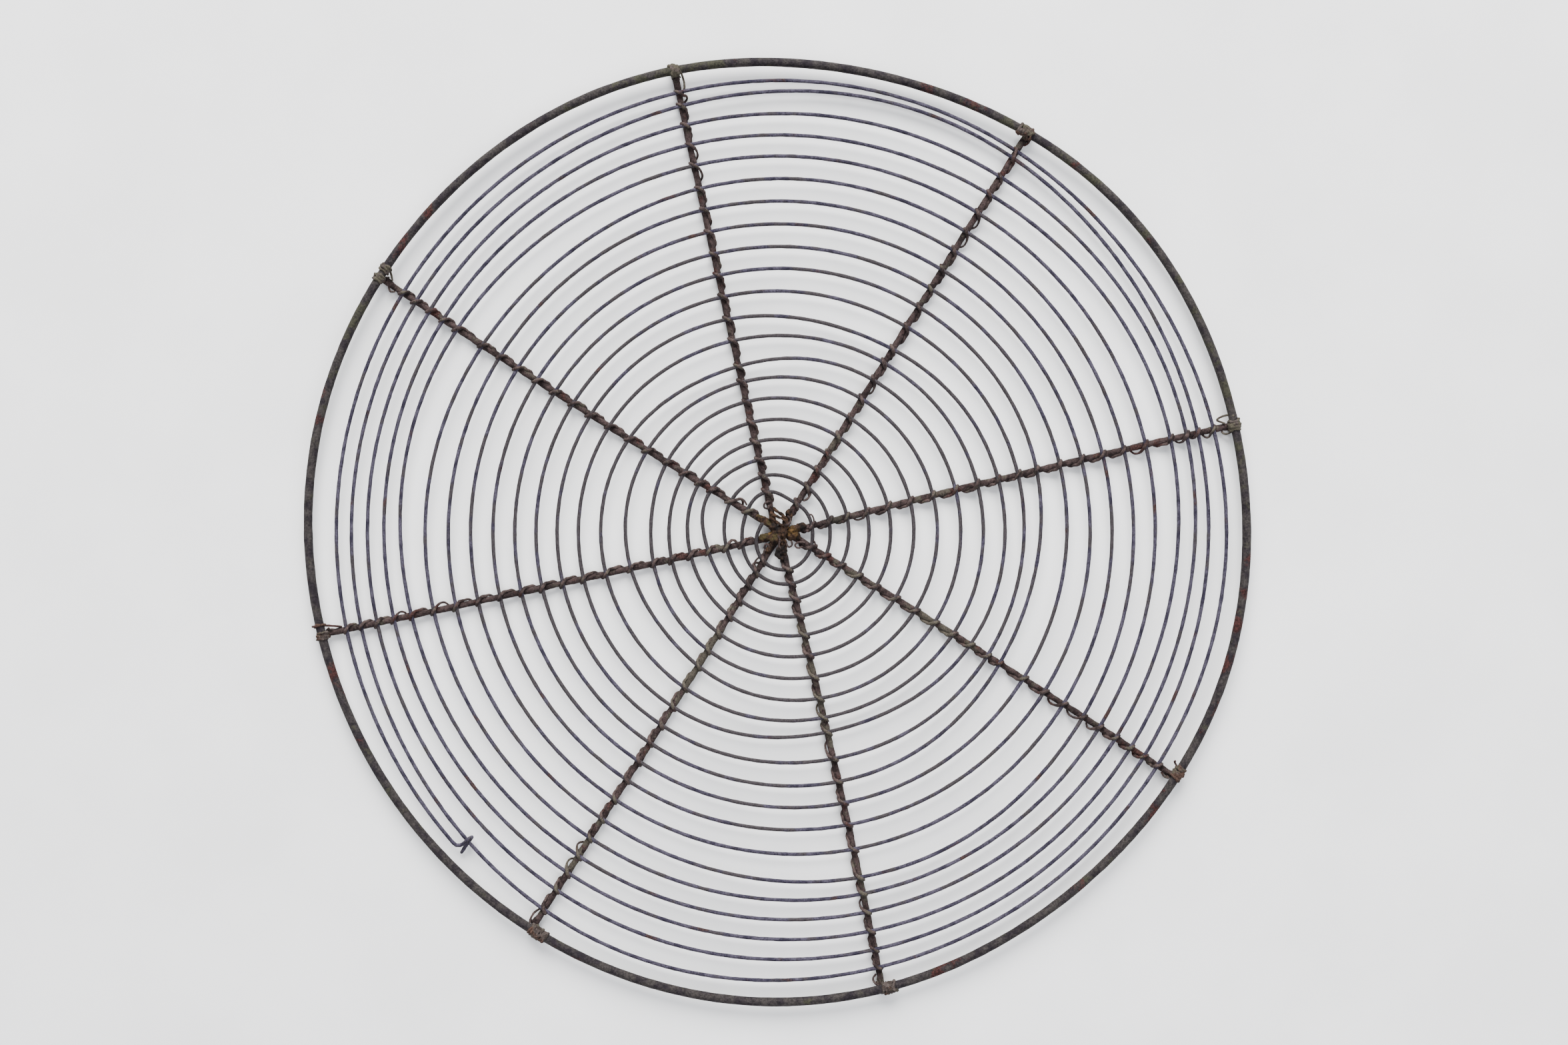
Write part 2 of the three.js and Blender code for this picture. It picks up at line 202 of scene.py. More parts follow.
# Lashings: {spoke: [(from, to)]}, where the turns lie on the rim, anticlockwise of the spoke.
LASHING_TURNS = {
    1: [(-1.5, 1.4)],
    2: [(-1.7, 3.9)],
    3: [(-1.9, 1.9)],
    4: [(-0.4, 3.7)],
    5: [(0.0, 4.9)],
    6: [(-0.5, 5.9)],
    7: [(-0.6, 2.0), (-3.2, -2.9)],
    8: [(-0.9, 1.6), (-4.6, -1.9)],
}
LASHING_PITCH = 0.95 * MM
LASHING_POINTS = 10  # to a turn
LASHING_PHASE = 0.6  # radians
LASHING_BEHIND = -0.5  # the sine of a turn's angle below which it passes behind the spoke
LASHING_SPREAD = (-0.35, 0.12)  # how far a turn may lie in or out of place
LASHING_SIDEWAYS = 0.2
LASHING_THICKNESS = (1.15, 1.7)
STRAND_THICKNESS = 1.1  # of the loose ends

# The turn of each lashing that passes behind the spoke: points (outwards, anticlockwise, up) from the
# spoke's own end at the rim's centreline.
LASHING_UNDER = [(2.6, 1.6, 1.0), (1.2, 1.1, -1.2), (0, 0, -1.66), (-1.2, -1.1, -1.2), (-2.4, -1.7, 0.4)]

# Loose ends at the rim: {spoke: [points (outwards from the rim's centreline, anticlockwise, up)]}.
RIM_STRANDS = {
    1: [[(1.6, -1.2, 3.4), (-0.6, -2.0, 3.6), (-3.4, -2.5, 1.2), (-5.8, -2.3, 0.6), (-8.0, -1.2, 0.2)]],
    2: [[(-1.2, -1.6, 2.4), (-2.4, -1.9, 1.2), (-3.9, -1.2, 0.2)]],
    3: [
        [(0.2, 3.0, 4.1), (-1.7, 3.7, 2.4), (-3.9, 3.5, 1.6), (-5.2, 2.8, 1.4), (-4.2, 2.0, 1.2),
         (-2.8, 1.1, 1.4)],
        [(-1.2, -1.9, 2.2), (-2.8, -2.5, 0.8), (-4.0, -2.0, 0.4), (-4.2, -1.1, 0.0)],
    ],
    4: [
        [(-1.4, 3.4, 1.4), (-2.8, 4.1, 1.5), (-2.9, 4.6, 2.2)],
        [(-1.6, -1.4, 1.8), (-3.0, -1.9, 0.9), (-4.6, -1.2, 0.2)],
    ],
    5: [[(-1.2, -1.0, 2.2), (-2.2, -2.2, 1.0), (-3.7, -2.5, 0.7), (-4.9, -1.2, 0.2)]],
    6: [[(-0.6, -1.2, 3.2), (-2.6, -2.1, 1.4), (-5.0, -2.2, 0.8), (-7.2, -1.2, 0.2)]],
    7: [[(2.6, -3.2, 2.4), (1.2, -3.1, 4.6), (-1.6, -2.8, 2.6), (-4.4, -2.0, 1.4), (-6.8, -1.2, 0.4)]],
    8: [
        [(-1.3, -4.0, 1.6), (-2.6, -2.8, 1.2), (-3.9, -1.3, 0.6)],
        [(-3.8, 1.1, 0.2), (-5.2, 2.0, 0.6), (-6.5, 1.2, 0.2)],
    ],
}

# Fine wire left loose round the hub: points (x, y, height).
HUB_STRANDS = [
    [(-2.0, 9.5, 3.5), (-3.3, 9.3, 3.8), (-4.4, 8.6, 3.9), (-4.4, 7.4, 3.9), (-3.3, 7.1, 3.8),
     (-2.9, 8.1, 3.6)],
    [(3.0, -4.0, 4.0), (3.1, -5.0, 3.7), (4.0, -6.0, 3.5), (5.0, -5.2, 3.6), (4.7, -3.9, 3.8)],
    [(9.4, -4.4, 3.6), (7.2, -4.3, 3.7), (6.0, -5.3, 3.5), (6.9, -6.3, 3.4), (8.6, -5.8, 3.4)],
    [(11.0, -5.6, 3.6), (11.4, -4.6, 3.8), (12.2, -4.0, 3.9), (12.8, -4.8, 3.8), (12.5, -5.8, 3.6)],
    [(-4.0, -7.4, 3.4), (-4.3, -5.8, 3.6), (-3.6, -4.9, 3.7), (-2.8, -5.8, 3.5), (-3.0, -6.8, 3.3)],
    [(-5.2, -9.2, 3.2), (-6.5, -9.7, 3.4), (-7.5, -10.9, 3.2), (-7.5, -12.5, 2.6), (-6.6, -13.8, 2.2)],
    [(11.0, 14.0, 2.6), (11.3, 12.2, 3.0), (10.4, 10.6, 3.0), (8.8, 9.6, 2.6)],
    [(10.3, 4.0, 3.2), (10.8, 4.9, 3.7), (11.6, 4.9, 3.9), (12.2, 3.8, 3.6), (12.4, 2.6, 3.2)],
    [(-14.0, 10.1, 3.2), (-12.6, 10.5, 3.4), (-11.2, 9.7, 3.2), (-10.3, 8.2, 2.8)],
    [(-16.6, -5.0, 3.0), (-15.6, -3.9, 3.3), (-14.2, -3.7, 3.3), (-13.3, -5.2, 3.0)],
    [(0.2, -2.0, 5.0), (0.9, -3.6, 5.0), (0.5, -5.2, 4.6), (1.2, -6.8, 4.0)],
    [(3.4, 4.6, 4.6), (4.4, 3.4, 4.9), (4.0, 2.0, 5.0), (2.6, 1.4, 5.1)],
]

# Wires that the rust has grown over at the hub: (radius, points (x, y, height)).
HUB_ROPES = [
    (0.50, [(-1.4, 7.2, 3.6), (0.3, 5.9, 4.1), (1.9, 4.7, 4.4), (3.3, 3.2, 4.4), (4.4, 1.8, 4.3)]),
    (0.48, [(-2.6, 5.2, 3.8), (-0.8, 4.6, 4.2), (0.9, 3.9, 4.5), (2.6, 2.9, 4.6), (3.8, 1.6, 4.5)]),
    (0.50, [(-2.8, 3.8, 3.8), (-0.8, 2.9, 4.3), (0.6, 1.9, 4.5), (2.2, 1.1, 4.6), (3.8, 0.6, 4.5)]),
    (0.46, [(4.0, 2.0, 4.4), (2.8, 0.6, 4.8), (1.9, -1.4, 4.9), (2.0, -3.2, 4.6), (1.5, -5.2, 4.2)]),
    (0.44, [(2.4, 1.2, 4.6), (3.1, -0.6, 4.9), (2.3, -2.4, 4.9), (2.8, -4.4, 4.4), (2.2, -6.2, 3.9)]),
    (0.76, [(1.8, -6.3, 3.7), (0.5, -6.8, 3.9), (-0.3, -7.9, 3.9), (0.3, -9.2, 3.6), (2.0, -9.9, 3.2)]),
]

# Lumps of rust that hold the hub together: (x, y, height, half length, half width, half height, turn).
# They lie along the spokes' inner ends, and the middle one fills the hub.
HUB_LUMPS = [
    (0.9, -1.0, 3.2, 3.0, 2.6, 1.5, 0),
    (5.2, -0.1, 3.4, 2.2, 1.5, 1.5, 30),
    (5.9, -1.9, 3.3, 2.4, 1.4, 1.4, -32),
    (4.2, -2.2, 3.2, 1.8, 1.3, 1.4, -60),
    (7.9, 0.9, 3.1, 2.2, 1.4, 1.3, 14),
    (-3.4, -2.5, 3.2, 3.2, 1.5, 1.3, 13),
    (-0.9, -3.3, 3.4, 2.2, 1.8, 1.4, -8),
    (-1.3, 0.8, 3.5, 1.6, 1.3, 1.4, 0),
    (-4.4, 2.9, 3.0, 3.4, 1.3, 1.3, -33),
    (-1.5, 3.2, 3.0, 1.0, 3.2, 1.2, 13),
    (3.9, 5.6, 3.2, 1.2, 1.4, 1.2, -30),
    (3.2, 2.6, 3.1, 3.2, 1.1, 1.3, 57),
    (1.9, -5.8, 3.0, 3.2, 1.2, 1.3, -77),
    (-2.2, -5.6, 2.8, 3.2, 1.1, 1.2, 58),
    (1.1, -8.0, 3.3, 0.9, 0.6, 0.8, 60),
    (-2.6, 1.6, 3.2, 1.8, 1.0, 1.2, -30),
]

# Where the hub's rust is amber, where it is olive, and where it is nearly black with darker rust and painted
# shade in its crevices and gaps: (x, y, spread).
HUB_AMBER = [(5.3, -0.8, 2.0), (6.4, -2.2, 1.5), (4.0, -1.8, 1.2), (-2.6, -1.2, 0.8)]
HUB_OLIVE = [(-4.6, -2.3, 2.2), (-2.6, -3.4, 1.6), (-0.6, -2.2, 1.4), (-2.6, 2.2, 1.3), (-5.6, 4.2, 1.5)]
HUB_SHADE_AND_DARK_RUST = [(0.2, -8.3, 2.6), (1.9, -6.2, 0.9), (0.0, 0.6, 1.3), (8.6, 0.4, 1.6), (-1.3, 1.6, 0.9)]
HUB_TINT = 1.7  # how strongly the first two show

# Where the rim has rusted red, and where it has gone green: (direction, spread, strength), in degrees.
RIM_RUST = [(290.5, 3.0, 1.0), (345, 9, 0.6), (198, 4, 0.9), (142, 5, 0.7), (66, 3, 0.7), (324, 4, 0.5)]
RIM_MOSS = [(103, 10, 0.8), (55, 14, 0.6), (20, 12, 0.7), (150, 5, 0.6)]

# Where spokes and lacing have rusted red, gone green, or are darkened nearly black with darker rust and painted
# shade:
# {spoke: [(distance from the hub, spread, strength)]}.
SPOKE_RUST = {
    1: [(112, 9, 0.6)],
    2: [(148, 5, 0.8), (31, 8, 0.6)],
    3: [(131, 3, 1.0), (122, 3, 1.0), (60, 6, 0.5)],
    4: [(142, 4, 1.0), (18, 5, 0.8), (84, 5, 0.5)],
    5: [(98, 6, 0.5)],
    6: [(108, 7, 0.5)],
    7: [(128, 6, 0.9), (30, 6, 0.4)],
    8: [(138, 3, 0.8), (43, 4, 0.9), (27, 4, 1.0), (15, 3, 0.7)],
}
SPOKE_MOSS = {
    1: [(156, 4, 0.6), (60, 7, 0.5)],
    2: [(154, 3, 0.7), (100, 8, 0.5), (34, 10, 0.9)],
    3: [(20, 4, 0.9), (58, 14, 0.4), (150, 4, 0.6)],
    4: [(100, 8, 0.5), (32, 4, 0.6), (60, 14, 1.0)],
    5: [(35, 6, 0.8), (60, 14, 1.1), (125, 12, 0.8), (154, 3, 0.5)],
    6: [(125, 16, 0.9), (52, 18, 1.3)],
    7: [(22, 3, 0.5)],
    8: [(11, 4, 0.9), (100, 7, 0.4)],
}
# Darkened nearly black: darker rust and painted shade.
SPOKE_SHADE_AND_DARK_RUST = {
    1: [(100, 45, 0.16)],
    2: [(105, 30, 0.26)],
    3: [(19, 5, 0.55), (105, 30, 0.16)],
    4: [(110, 30, 0.18)],
    5: [(9, 2, 0.6)],
    6: [(20, 3, 0.6)],
    7: [(38, 6, 0.3), (95, 30, 0.22)],
    8: [(48, 6, 0.3), (100, 40, 0.14)],
}

# How each spoke's lashing is coloured: (rust, moss), added to the noise that decides where they show.
LASHING_TINTS = [
    (0.0, 1.0),
    (0.6, 0.5),
    (0.0, 1.0),
    (0.7, 0.3),
    (0.0, 0.4),
    (0.3, 0.2),
    (0.8, 0.3),
    (0.1, 0.9),
]

# Grey-brown growth covers more and more of the spiral towards its centre, where it is painted darker too, with
# darker rust and painted shade near the hub:
# (strength at the centre, radius).
SPIRAL_GROWTH = (1.9, 170 * MM)
SPIRAL_DARK = (0.35, 24 * MM)

# The lacing's nubs are painted paler the higher they rise over the spiral: olive-tan growth, and a painted
# highlight on their tops.
NUB_GROWTH_AND_HIGHLIGHT = 0.4  # on the lacing's nubs on top of the spiral, which are paler

# Relief of what rust has grown together: voxel size, and noise (height, feature size, seed).
LASHING_VOXEL = 0.2 * MM
LASHING_RELIEF = [(0.30, 1.7, 20), (0.12, 0.7, 30)]  # each lashing adds its number to the seeds
HUB_VOXEL = 0.16 * MM
HUB_BALL_DETAIL = 4  # subdivisions of each lump's ball
HUB_RELIEF = [(0.32, 1.8, 7), (0.2, 0.8, 8), (0.08, 0.4, 9)]

# Studio: (place, size, power, colour) of the lights, and the sky's colour and strength.
KEY_LIGHT = ((-0.2, 2.0, 1.5), 1.9, 225, (1.0, 0.99, 0.97))
FILL_LIGHT = ((0.9, -0.6, 1.6), 1.6, 24, (0.95, 0.97, 1.0))
SKY_COLOUR = (0.93, 0.95, 1.0)
SKY_STRENGTH = 0.9
FLOOR_HALF = 3.0
FLOOR_TONES = ((0.80, 0.80, 0.805), (0.86, 0.86, 0.865))
FLOOR_MOTTLE = 60 * MM
FLOOR_LEVELS = (0.3, 0.7)
FLOOR_ROUGHNESS = 0.9

# Camera, straight above the rack, which is the photograph's square-on view of it.
VIEW_WIDTH = 529.2 * MM  # what it sees across at the rack
VIEW_CENTRE = (2.25 * MM, 2.34 * MM)
LENS = 50.0
SENSOR = 36.0


# ---------------------------------------------------------------- lines that the wires follow

def rim_radius(angle):
    """Distance from the origin to the rim's centreline in that direction."""
    return RIM_RADIUS + sum(h * np.cos(n * (angle - math.radians(crest))) for n, h, crest in RIM_WAVES)


class SpokeLine:
    """A spoke's own frame: x outwards along it, y to its left, z above its centreline.

    It points a little aside of the hub, and bows to the left by bow halfway out.
    """

    def __init__(self, direction, aside, bow):
        angle = math.radians(direction)
        at_rim = Vector((math.cos(angle), math.sin(angle))) * rim_radius(angle)
        outwards = (at_rim - HUB).normalized()
        self.start = HUB + aside * Vector((-outwards.y, outwards.x))
        line = at_rim - self.start
        self.reach = line.length
        self.along = line.normalized()
        self.left = Vector((-self.along.y, self.along.x))
        self.bow = bow

    def bow_at(self, x):
        """How far the bowed spoke lies to the left of a straight one, at x."""
        share = x / self.reach
        return 4 * self.bow * share * (1 - share)

    def place(self, points):
        """Points (x, y, z, ...) of the spoke's frame, as rows in the rack's frame."""
        local = np.array(points, float)
        across = local[:, 1] + self.bow_at(local[:, 0])
        flat = np.outer(local[:, 0], self.along) + np.outer(across, self.left) + np.array(self.start)
        return np.column_stack([flat, local[:, 2] + SPOKE_HEIGHT, local[:, 3:]])

    def local(self, points):
        """x and y in the spoke's frame of rows in the rack's frame."""
        flat = points[:, :2] - np.array(self.start)
        x = flat @ np.array(self.along)
        return x, flat @ np.array(self.left) - self.bow_at(x)


def spiral_angle(turn):
    """Direction from the origin, in turns counted from the side that faces -X."""
    return math.pi + FULL_TURN * turn


def spiral_radius(turn):
    """Distance from the origin to the spiral's centreline at that turn."""
    angle = spiral_angle(turn)
    coil = FULL_TURN * turn / SPIRAL_TURNS
    towards_ends = (2 * turn / SPIRAL_TURNS - 1) ** 2
    radius = SPIRAL_FIRST_RADIUS + SPIRAL_PITCH * turn
    radius = radius - SPIRAL_SWELL[0] * np.sin(coil) - SPIRAL_SWELL[1] * np.sin(2 * coil)
    radius = radius + (SPIRAL_SHIFT[0] - SPIRAL_SHIFT_LOSS * towards_ends) * np.cos(angle)
    radius = radius + SPIRAL_SHIFT[1] * np.sin(angle)
    radius = radius + (SPIRAL_OVAL[0] - SPIRAL_OVAL_LOSS * towards_ends) * np.cos(2 * angle)
    radius = radius + SPIRAL_OVAL[1] * np.sin(2 * angle)
    for dent_turn, depth in SPIRAL_DENTS:
        off = spiral_angle(dent_turn) - angle
        aside = np.arctan2(np.sin(off), np.cos(off)) / DENT_SPREAD
        radius = radius + depth * np.exp(-(((turn - dent_turn) / DENT_TURNS) ** 2) - aside**2)
    return radius * MM


def polar(radius, angle, z):
    """Points from their distance and direction from the origin, and their height."""
    return np.stack(np.broadcast_arrays(radius * np.cos(angle), radius * np.sin(angle), z), axis=-1)


def spiral_route():
    """The spiral from its inner end to the tip of its hook."""
    turn = np.linspace(SPIRAL_START, SPIRAL_END, SPIRAL_SAMPLES)
    coil = polar(spiral_radius(turn), spiral_angle(turn), SPIRAL_HEIGHT)
    angle = spiral_angle(SPIRAL_END)
    outer = spiral_radius(SPIRAL_END)
    inner = spiral_radius(SPIRAL_END - 1)
    bend = [
        polar(outer + out * MM, angle + along * MM / outer, SPIRAL_HEIGHT)
        for along, out in HOOK_BEND
    ]
    hook = [
        polar(inner + out * MM, angle + along * MM / outer, SPIRAL_HEIGHT + up * MM)
        for along, out, up in HOOK_ROUND
    ]
    hook = smooth(np.array([coil[-1], *bend, *hook]), HOOK_STEP)
    tail = [(x * MM, y * MM, SPIRAL_HEIGHT) for x, y in SPIRAL_TAIL]
    return np.concatenate([tail, coil, hook[1:]])


def crossings(spoke, spiral):
    """Pairs (outer, inner) of crossings that one turn of lacing holds, each (x, slope), outermost first."""
    x, y = spoke.local(spiral)
    found = []
    for i in np.nonzero((y[1:] < 0) != (y[:-1] < 0))[0]:
        slope = (x[i + 1] - x[i]) / (y[i + 1] - y[i])
        found.append((x[i] - slope * y[i], slope))
    pairs = []
    for crossing in sorted((c for c in found if c[0] > LACING_INNERMOST), reverse=True):
        if pairs and pairs[-1][1][0] - crossing[0] < TURNS_LACED_TOGETHER:
            pairs[-1][1] = crossing
        else:
            pairs.append([crossing, crossing])
    return pairs


# ---------------------------------------------------------------- mesh making

def resample(points, step):
    """The same polyline with even steps; columns after the third are carried along."""
    lengths = np.linalg.norm(np.diff(points[:, :3], axis=0), axis=1)
    along = np.concatenate([[0], np.cumsum(lengths)])
    count = max(2, int(round(along[-1] / step)) + 1)
    at = np.linspace(0, along[-1], count)
    return np.column_stack([np.interp(at, along, column) for column in points.T])


def smooth(points, step):
    """A Catmull-Rom curve through the points, in even steps."""
    ends = np.concatenate([[2 * points[0] - points[1]], points, [2 * points[-1] - points[-2]]])
    fine = []
    for i in range(1, len(ends) - 2):
        before, a, b, after = ends[i - 1], ends[i], ends[i + 1], ends[i + 2]
        for t in np.linspace(0, 1, CURVE_PARTS, endpoint=False):
            fine.append(0.5 * (
                2 * a + (b - before) * t + (2 * before - 5 * a + 4 * b - after) * t**2
                + (3 * a - before - 3 * b + after) * t**3
            ))
    fine.append(points[-1])
    return resample(np.array(fine), step)


def unit(rows):
    """The rows as directions of length 1."""
    return rows / np.linalg.norm(rows, axis=1, keepdims=True)


def side_vectors(route, closed):
    """Two directions across the route at each point, which turn as little as they can along it."""
    if closed:
        ahead = np.roll(route, -1, axis=0) - np.roll(route, 1, axis=0)
    else:
        ahead = np.gradient(route, axis=0)
    ahead = unit(ahead)
    normals = np.empty_like(route)
    normal = np.cross(ahead[0], (0.0, 0.0, 1.0))
    if np.linalg.norm(normal) < NEARLY_UPRIGHT:
        normal = np.cross(ahead[0], (1.0, 0.0, 0.0))
    for i, forward in enumerate(ahead):
        normal = normal - forward * normal.dot(forward)
        normal = normal / np.linalg.norm(normal)
        normals[i] = normal
    return normals, np.cross(ahead, normals)


def relief(points, size, seed):
    """Smooth noise from -1 to 1 at each point, with features of that size."""
    shift = Vector([seed * step for step in SEED_SHIFT])
    return np.array([noise.noise(Vector(p) / size + shift) for p in points])


def near_along(distance, stretches):
    """A level that peaks at each stretch (distance, spread, strength) and fades to 0 well outside it."""
    level = np.zeros(len(distance))
    for middle, spread, strength in stretches:
        level += strength * np.exp(-(((distance / MM - middle) / spread) ** 2))
    return level


class WireMesh:
    """Round, uneven wires that share one mesh."""

    def __init__(self):
        self.rows = []
        self.faces = []
        self.count = 0

    def add(self, route, radius, sides, closed=False, lump=0.06, pit=0.03, seed=1):
        """A wire along the route. radius is one number, or one for each point of the route.

        lump and pit are how uneven its skin is, as shares of its radius.
        """
        normals, binormals = side_vectors(route, closed)
        rings = len(route)
        radii = np.full(rings, radius, float)
        size = radii.mean()
        if not closed:
            radii[[0, -1]] *= END_RING
        turn = np.arange(sides) * FULL_TURN / sides
        across = (
            np.cos(turn)[None, :, None] * normals[:, None, :]
            + np.sin(turn)[None, :, None] * binormals[:, None, :]
        )
        skin = (route[:, None, :] + across * radii[:, None, None]).reshape(-1, 3)
        uneven = lump * relief(skin, LUMP_SIZE * size, seed) + pit * relief(skin, PIT_SIZE * size, seed + 1)
        skin = skin + across.reshape(-1, 3) * (np.repeat(radii, sides) * uneven)[:, None]
        first = self.count
        last_ring = rings if closed else rings - 1
        for ring in range(last_ring):
            here = first + ring * sides
            there = first + ((ring + 1) % rings) * sides
            for side in range(sides):
                ahead = (side + 1) % sides
                self.faces.append((here + side, here + ahead, there + ahead, there + side))
        self.rows.append(skin)
        self.count += len(skin)
        if not closed:
            last = first + (rings - 1) * sides
            self.cap(route[0] - (route[1] - route[0]) * END_TIP, first, sides, False)
            self.cap(route[-1] + (route[-1] - route[-2]) * END_TIP, last, sides, True)

    def cap(self, tip, ring, sides, forward):
        """Closes an end: a tip, and triangles from it to the ring whose first vertex is given."""
        self.rows.append(tip[None, :])
        for side in range(sides):
            ahead = (side + 1) % sides
            pair = (ring + side, ring + ahead) if forward else (ring + ahead, ring + side)
            self.faces.append((*pair, self.count))
        self.count += 1

    def mesh(self, name):
        """All the wires as one Blender mesh."""
        mesh = bpy.data.meshes.new(name)
        mesh.from_pydata(np.concatenate(self.rows).tolist(), [], self.faces)
        return mesh

    def build(self, name, material, replaces=()):
        """The wires as a finished piece of the rack."""
        return finish_piece(name, self.mesh(name), material, replaces)


def crust(mesh, voxel, reliefs):
    """The mesh as one knobbly skin without its insides. Each relief is (height, feature size, seed)."""
    holder = bpy.data.objects.new("holder", mesh)
    bpy.context.scene.collection.objects.link(holder)
    remesh = holder.modifiers.new("skin", "REMESH")
    remesh.mode = "VOXEL"
    remesh.voxel_size = voxel
    evaluated = holder.evaluated_get(bpy.context.evaluated_depsgraph_get())
    skin = bpy.data.meshes.new_from_object(evaluated)
    bpy.data.objects.remove(holder)
    bpy.data.meshes.remove(mesh)
    rows = np.array([vert.co for vert in skin.vertices])
    normals = np.array([vert.normal for vert in skin.vertices])
    for height, size, seed in reliefs:
        rows = rows + normals * (height * MM * relief(rows, size * MM, seed))[:, None]
    rows[:, 2] = np.maximum(rows[:, 2], 0)  # worn flat where it touches the table
    skin.vertices.foreach_set("co", rows.astype(np.float32).ravel())
    skin.update()
    return skin


def finish_piece(name, mesh, material, replaces=()):
    """Puts a mesh in the scene as a piece of the rack, in place of the CAD nodes it replaces."""
    mesh.shade_smooth()
    mesh.materials.append(material)
    piece = bpy.data.objects.new(name, mesh)
    bpy.context.scene.collection.objects.link(piece)
    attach(piece, "root")
    if replaces:
        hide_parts(*replaces)
    return piece


def paint(piece, name, values):
    """Stores one number for each vertex, for the material to read."""
    attribute = piece.data.attributes.new(name, "FLOAT", "POINT")
    attribute.data.foreach_set("value", np.asarray(values, np.float32))


# ---------------------------------------------------------------- materials

class Nodes:
    """Short ways to add nodes to one material."""

    def __init__(self, name):
        self.material = bpy.data.materials.new(name)
        self.material.use_nodes = True
        self.tree = self.material.node_tree
        self.shader = self.tree.nodes["Principled BSDF"]
        self.place = self.add("ShaderNodeTexCoord").outputs["Object"]

    def add(self, kind, **settings):
        """A new node with these settings."""
        node = self.tree.nodes.new(kind)
        for key, value in settings.items():
            setattr(node, key, value)
        return node

    def link(self, source, target):
        """Joins one node's output to another's input."""
        self.tree.links.new(source, target)

    def noise(self, size, detail=3.0, roughness=0.55, shift=0.0):
        """Noise with features of that size in metres."""
        where = self.add("ShaderNodeMapping")
        where.inputs["Location"].default_value = (shift, shift * 1.7, -shift)
        where.inputs["Scale"].default_value = (1 / size,) * 3
        self.link(self.place, where.inputs["Vector"])
        texture = self.add("ShaderNodeTexNoise")
        texture.inputs["Scale"].default_value = 1.0
        texture.inputs["Detail"].default_value = detail
        texture.inputs["Roughness"].default_value = roughness
        self.link(where.outputs["Vector"], texture.inputs["Vector"])
        return texture.outputs["Fac"]

    def ramp(self, value, low, high, start=0.0, end=1.0):
        """Maps value from low..high to start..end, smoothly and clamped."""
        node = self.add("ShaderNodeMapRange", interpolation_type="SMOOTHSTEP")
        node.inputs["From Min"].default_value = low
        node.inputs["From Max"].default_value = high
        node.inputs["To Min"].default_value = start
        node.inputs["To Max"].default_value = end
        self.link(value, node.inputs["Value"])
        return node.outputs["Result"]

    def sum(self, a, b, weight=1.0):
        """a + weight * b, of two sockets."""
        node = self.add("ShaderNodeMath", operation="MULTIPLY_ADD")
        node.inputs[1].default_value = weight
        self.link(b, node.inputs[0])
        self.link(a, node.inputs[2])
        return node.outputs["Value"]

    def mix(self, share, a, b, blend="MIX"):
        """Mixes two colours, each a socket or an (r, g, b); share is a socket or a number."""
        node = self.add("ShaderNodeMix", data_type="RGBA", blend_type=blend)
        if isinstance(share, float):
            node.inputs["Factor"].default_value = share
        else:
            self.link(share, node.inputs["Factor"])
        for socket, colour in ((node.inputs["A"], a), (node.inputs["B"], b)):
            if isinstance(colour, tuple):
                socket.default_value = (*colour, 1)
            else:
                self.link(colour, socket)
        return node.outputs["Result"]

    def attribute(self, name):
        """One number for each vertex, as paint() stored it."""
        return self.add("ShaderNodeAttribute", attribute_name=name).outputs["Fac"]


# Noise levels, and how much each thing adds to them.
WEAR_LEVELS = (0.46, 0.76)  # from bare to worn metal
RUST_EDGE = 0.10  # how softly a patch of rust ends
MOSS_EDGE = 0.12
PAINTED = 0.2  # what paint() stored
SPECKLE_IN_WEAR = 0.25
SPECKLE_IN_RUST = 0.12
SPECKLE_IN_MOSS = 0.10
DEEP_RUST = 0.6  # how dark the rust's dark grains are
DEEP_LEVELS = (0.35, 0.62)
PIT_LEVELS = (0.32, 0.66)
PIT_SHADES = (0.5, 1.5)  # colour is multiplied by this, from pit to crest
ROUGH_LEVELS = (0.3, 0.7)
ROUGH_SPREAD = 0.08
RUST_ROUGHNESS = 0.15
METALLIC = 0.1
SPECULAR = 0.15

# Feature sizes, as shares of a material's zone or grain, and relief.
WEAR_ZONE = 0.45
MOSS_ZONE = 0.8
FINE_GRAIN = 0.3
FINE_RELIEF = 0.5
RUST_RELIEF = 0.35
BUMP_DEPTH = 0.4


def growth_mask(nodes, speckle, kind, size, shift, speckle_share, level_from, edge):
    """Where rust or moss shows: patches of noise, helped by what paint() stored under that name."""
    level = nodes.sum(nodes.noise(size, detail=5, shift=shift), nodes.attribute(kind), PAINTED)
    level = nodes.sum(level, speckle, speckle_share)
    return nodes.ramp(level, level_from, level_from + edge)


def iron_colour(nodes, speckle, bare, worn, zone):
    """Bare and worn metal in patches."""
    patches = nodes.noise(zone * WEAR_ZONE, detail=4)
    worn_mask = nodes.ramp(nodes.sum(patches, speckle, SPECKLE_IN_WEAR), *WEAR_LEVELS)
    return nodes.mix(worn_mask, bare, worn)


def rust_tones(nodes, speckle, rust):
    """The rust's colour with its darker grains."""
    deep = tuple(DEEP_RUST * channel for channel in rust)
    return nodes.mix(nodes.ramp(speckle, *DEEP_LEVELS), deep, rust)


def shade_pits(nodes, speckle, colour):
    """The colour, darker in the pits and lighter on the crests."""
    shade = nodes.ramp(speckle, *PIT_LEVELS, *PIT_SHADES)
    grey = nodes.add("ShaderNodeCombineColor")
    for channel in grey.inputs:
        nodes.link(shade, channel)
    return nodes.mix(1.0, colour, grey.outputs["Color"], "MULTIPLY")


